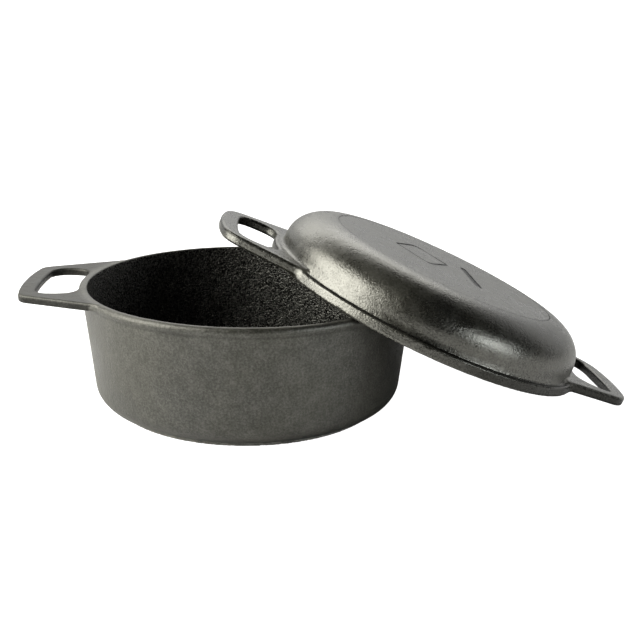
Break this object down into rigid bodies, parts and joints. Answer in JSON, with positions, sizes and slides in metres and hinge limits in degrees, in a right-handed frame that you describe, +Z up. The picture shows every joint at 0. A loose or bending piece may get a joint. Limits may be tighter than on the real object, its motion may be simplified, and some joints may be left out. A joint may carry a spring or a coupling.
{
  "type": "cast iron dutch oven",
  "caption": "Deep round cast iron pot with loop handles, and a shallow matching skillet that turned over is its lid, leaning on the pot's rim.",
  "frame": {"origin": "centre of the pot's flat foot, on the surface that the pot stands on", "axes": "+Z up, along the pot's axis; +X from the pot's middle along its two handles, towards the side where the lid leans"},
  "size_m": [0.4981, 0.272, 0.1523],
  "materials": {
    "pot_iron": "seasoned, satin, fine cast grain outside and coarse pebble grain inside",
    "lid_iron": "seasoned, satin, fine cast grain"
  },
  "bodies": {
    "pot": {"pot": "pot_iron"},
    "lid": {"skillet_lid": "lid_iron"}
  },
  "joints": [
    {"name": "lid_lift", "type": "slide", "parent": "pot", "child": "lid", "axis": [0, 0, 1], "range_m": [0, 0.2]}
  ]
}
